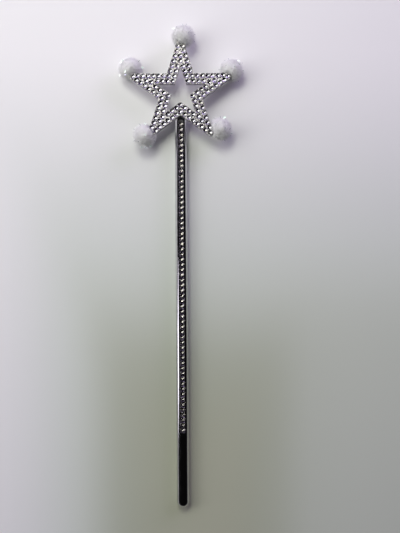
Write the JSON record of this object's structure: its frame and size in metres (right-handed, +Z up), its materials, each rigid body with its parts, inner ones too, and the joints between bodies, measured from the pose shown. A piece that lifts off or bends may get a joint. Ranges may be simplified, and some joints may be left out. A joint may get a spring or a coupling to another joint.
{
  "type": "toy magic wand",
  "caption": "Toy magic wand with a gem-set open star head, white pom-poms on the star's tips, and a straight plated stick with a row of gems down its front and a plain grip.",
  "frame": {"origin": "on the table under the middle of the wand, which lies on its back on its two side pom-poms and the edge of its butt cap", "axes": "+Z up, out of the gem-set front; +Y from the grip to the star's top arm; +X to the right as seen from the front"},
  "size_m": [0.0902, 0.3506, 0.0196],
  "materials": {
    "plated_plastic": "polished",
    "satin_plastic": "satin",
    "gem": "polished",
    "plain_plastic": "satin",
    "tape": "satin",
    "pile": "matte",
    "thread": "matte",
    "glue": "satin"
  },
  "bodies": {
    "root": {"star_front_shell": "satin_plastic", "star_back_shell": "satin_plastic", "star_gems_outer": "gem", "star_gems_inner": "gem", "star_gems_arm": "gem", "stick_tube": "plated_plastic", "head_plug": "plain_plastic", "butt_cap": "plated_plastic", "gem_tape": "tape", "stick_gems": "gem", "pompom_top": "pile", "pompom_upper_left": "pile", "pompom_lower_left": "pile", "pompom_lower_right": "pile", "pompom_upper_right": "pile", "tie_top": "thread", "tie_upper_left": "thread", "tie_lower_left": "thread", "tie_lower_right": "thread", "tie_upper_right": "thread", "glue_bead_top": "glue", "glue_bead_upper_left": "glue", "glue_bead_lower_left": "glue", "glue_bead_lower_right": "glue", "glue_bead_upper_right": "glue"}
  },
  "joints": []
}
